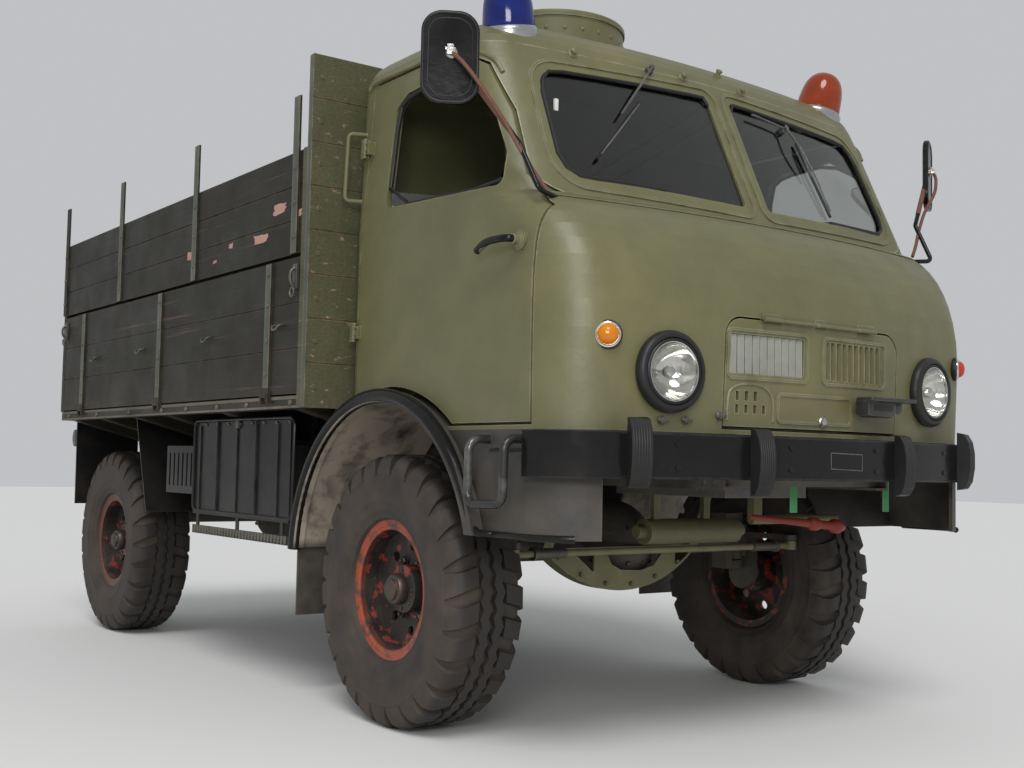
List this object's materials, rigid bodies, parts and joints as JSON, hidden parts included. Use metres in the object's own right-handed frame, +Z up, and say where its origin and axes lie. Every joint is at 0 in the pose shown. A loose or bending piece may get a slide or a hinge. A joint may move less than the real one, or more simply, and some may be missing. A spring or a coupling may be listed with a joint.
{
  "type": "light four-wheel-drive cargo truck",
  "caption": "Forward-control military cargo truck with a rounded two-door cab, roof hatch, louvred grille flap, wrap-round bumper and a drop-sided timber bed with upper racks.",
  "frame": {"origin": "on the ground under the middle of the truck's overall box", "axes": "+X forward, +Y to the truck's left, +Z up"},
  "size_m": [4.4319, 2.4252, 2.4443],
  "materials": {
    "olive_paint": "semi-gloss olive, chipped and dusty",
    "dark_boards": "dark green painted planks, worn",
    "black_paint": "semi-gloss black",
    "chassis_paint": "matt, muddy",
    "cast_iron": "rough, oily",
    "rubber": "matt",
    "tyre": "matt, dusty",
    "rim_paint": "orange red, scuffed",
    "window_glass": "clear, dusty",
    "lamp_glass": "fluted lens in a rubber ring",
    "amber_lens": "translucent",
    "blue_lens": "translucent",
    "red_lens": "translucent",
    "seat_cover": "dark vinyl, creased"
  },
  "bodies": {
    "chassis": {"axle_guard": "olive_paint", "backbone_tube": "chassis_paint", "beacon_left": "amber_lens", "beacon_right": "blue_lens", "bed_floor": "dark_boards", "body_frame": "black_paint", "bumper": "black_paint", "cab_floor": "olive_paint", "cab_front": "olive_paint", "cab_glass": "window_glass", "cab_rear": "olive_paint", "cab_roof": "olive_paint", "cab_steps": "black_paint", "dashboard": "black_paint", "engine_block": "cast_iron", "engine_cover": "olive_paint", "fenders": "black_paint", "front_axle": "chassis_paint", "headboard": "olive_paint", "headlights": "lamp_glass", "indicators": "amber_lens", "mirrors": "black_paint", "overriders": "rubber", "racks": "dark_boards", "rear_axle": "chassis_paint", "rear_mudguards": "black_paint", "seat_cushions": "seat_cover", "side_lockers": "black_paint", "steering_gear": "chassis_paint", "steering_wheel": "black_paint", "tail_lamps": "red_lens", "tow_hitch": "chassis_paint"},
    "knuckle_right": {"knuckle_right": "chassis_paint"},
    "knuckle_left": {"knuckle_left": "chassis_paint"},
    "tie_rod": {"tie_rod": "chassis_paint"},
    "wheel_front_right": {"rim_front_right": "rim_paint", "tyre_front_right": "tyre"},
    "wheel_front_left": {"rim_front_left": "rim_paint", "tyre_front_left": "tyre"},
    "wheel_rear_right": {"rim_rear_right": "rim_paint", "tyre_rear_right": "tyre"},
    "wheel_rear_left": {"rim_rear_left": "rim_paint", "tyre_rear_left": "tyre"},
    "door_right": {"door_right": "olive_paint", "door_glass_right": "window_glass"},
    "door_left": {"door_left": "olive_paint", "door_glass_left": "window_glass"},
    "drop_side_right": {"drop_side_right": "dark_boards"},
    "drop_side_left": {"drop_side_left": "dark_boards"},
    "tailgate": {"tailgate": "dark_boards"},
    "hatch_lid": {"hatch_lid": "olive_paint"},
    "grille_flap": {"grille_flap": "olive_paint", "blackout_lamp": "black_paint"}
  },
  "joints": [
    {"name": "steer_right", "type": "hinge", "parent": "chassis", "child": "knuckle_right", "pos_m": [1.124, -0.665, 0.575], "axis": [0, 0, 1], "range_deg": [-28, 28]},
    {"name": "steer_left", "type": "hinge", "parent": "chassis", "child": "knuckle_left", "pos_m": [1.124, 0.665, 0.575], "axis": [0, 0, 1], "range_deg": [-28, 28]},
    {"name": "tie_rod_swing", "type": "hinge", "parent": "knuckle_right", "child": "tie_rod", "pos_m": [1.424, -0.665, 0.572], "axis": [0, 0, 1], "range_deg": [-28, 28]},
    {"name": "wheel_front_right_spin", "type": "hinge", "parent": "knuckle_right", "child": "wheel_front_right", "pos_m": [1.124, -0.84, 0.445], "axis": [0, 1, 0], "continuous": true},
    {"name": "wheel_rear_right_spin", "type": "hinge", "parent": "chassis", "child": "wheel_rear_right", "pos_m": [-1.576, -0.84, 0.445], "axis": [0, 1, 0], "continuous": true},
    {"name": "door_right_hinge", "type": "hinge", "parent": "chassis", "child": "door_right", "pos_m": [0.845, -0.96, 0.985], "axis": [-0.0714, 0, -0.9974], "range_deg": [0, 70]},
    {"name": "drop_side_right_hinge", "type": "hinge", "parent": "chassis", "child": "drop_side_right", "pos_m": [-0.655, -1.095, 1.096], "axis": [1, 0, 0], "range_deg": [0, 180]},
    {"name": "wheel_front_left_spin", "type": "hinge", "parent": "knuckle_left", "child": "wheel_front_left", "pos_m": [1.124, 0.84, 0.445], "axis": [0, 1, 0], "continuous": true},
    {"name": "wheel_rear_left_spin", "type": "hinge", "parent": "chassis", "child": "wheel_rear_left", "pos_m": [-1.576, 0.84, 0.445], "axis": [0, 1, 0], "continuous": true},
    {"name": "door_left_hinge", "type": "hinge", "parent": "chassis", "child": "door_left", "pos_m": [0.845, 0.96, 0.985], "axis": [0.0714, 0, 0.9974], "range_deg": [0, 70]},
    {"name": "drop_side_left_hinge", "type": "hinge", "parent": "chassis", "child": "drop_side_left", "pos_m": [-0.655, 1.095, 1.096], "axis": [-1, 0, 0], "range_deg": [0, 180]},
    {"name": "tailgate_hinge", "type": "hinge", "parent": "chassis", "child": "tailgate", "pos_m": [-2.061, 0, 1.096], "axis": [0, -1, 0], "range_deg": [0, 90]},
    {"name": "hatch_hinge", "type": "hinge", "parent": "chassis", "child": "hatch_lid", "pos_m": [0.876, -0.312, 2.424], "axis": [0, -1, 0], "range_deg": [0, 100]},
    {"name": "grille_flap_hinge", "type": "hinge", "parent": "chassis", "child": "grille_flap", "pos_m": [2.1305, 0, 1.312], "axis": [0, -1, 0], "range_deg": [0, 80]}
  ],
  "couplings": [
    {"joint": "steer_left", "follows": "steer_right", "ratio": 1},
    {"joint": "tie_rod_swing", "follows": "steer_right", "ratio": -1}
  ]
}
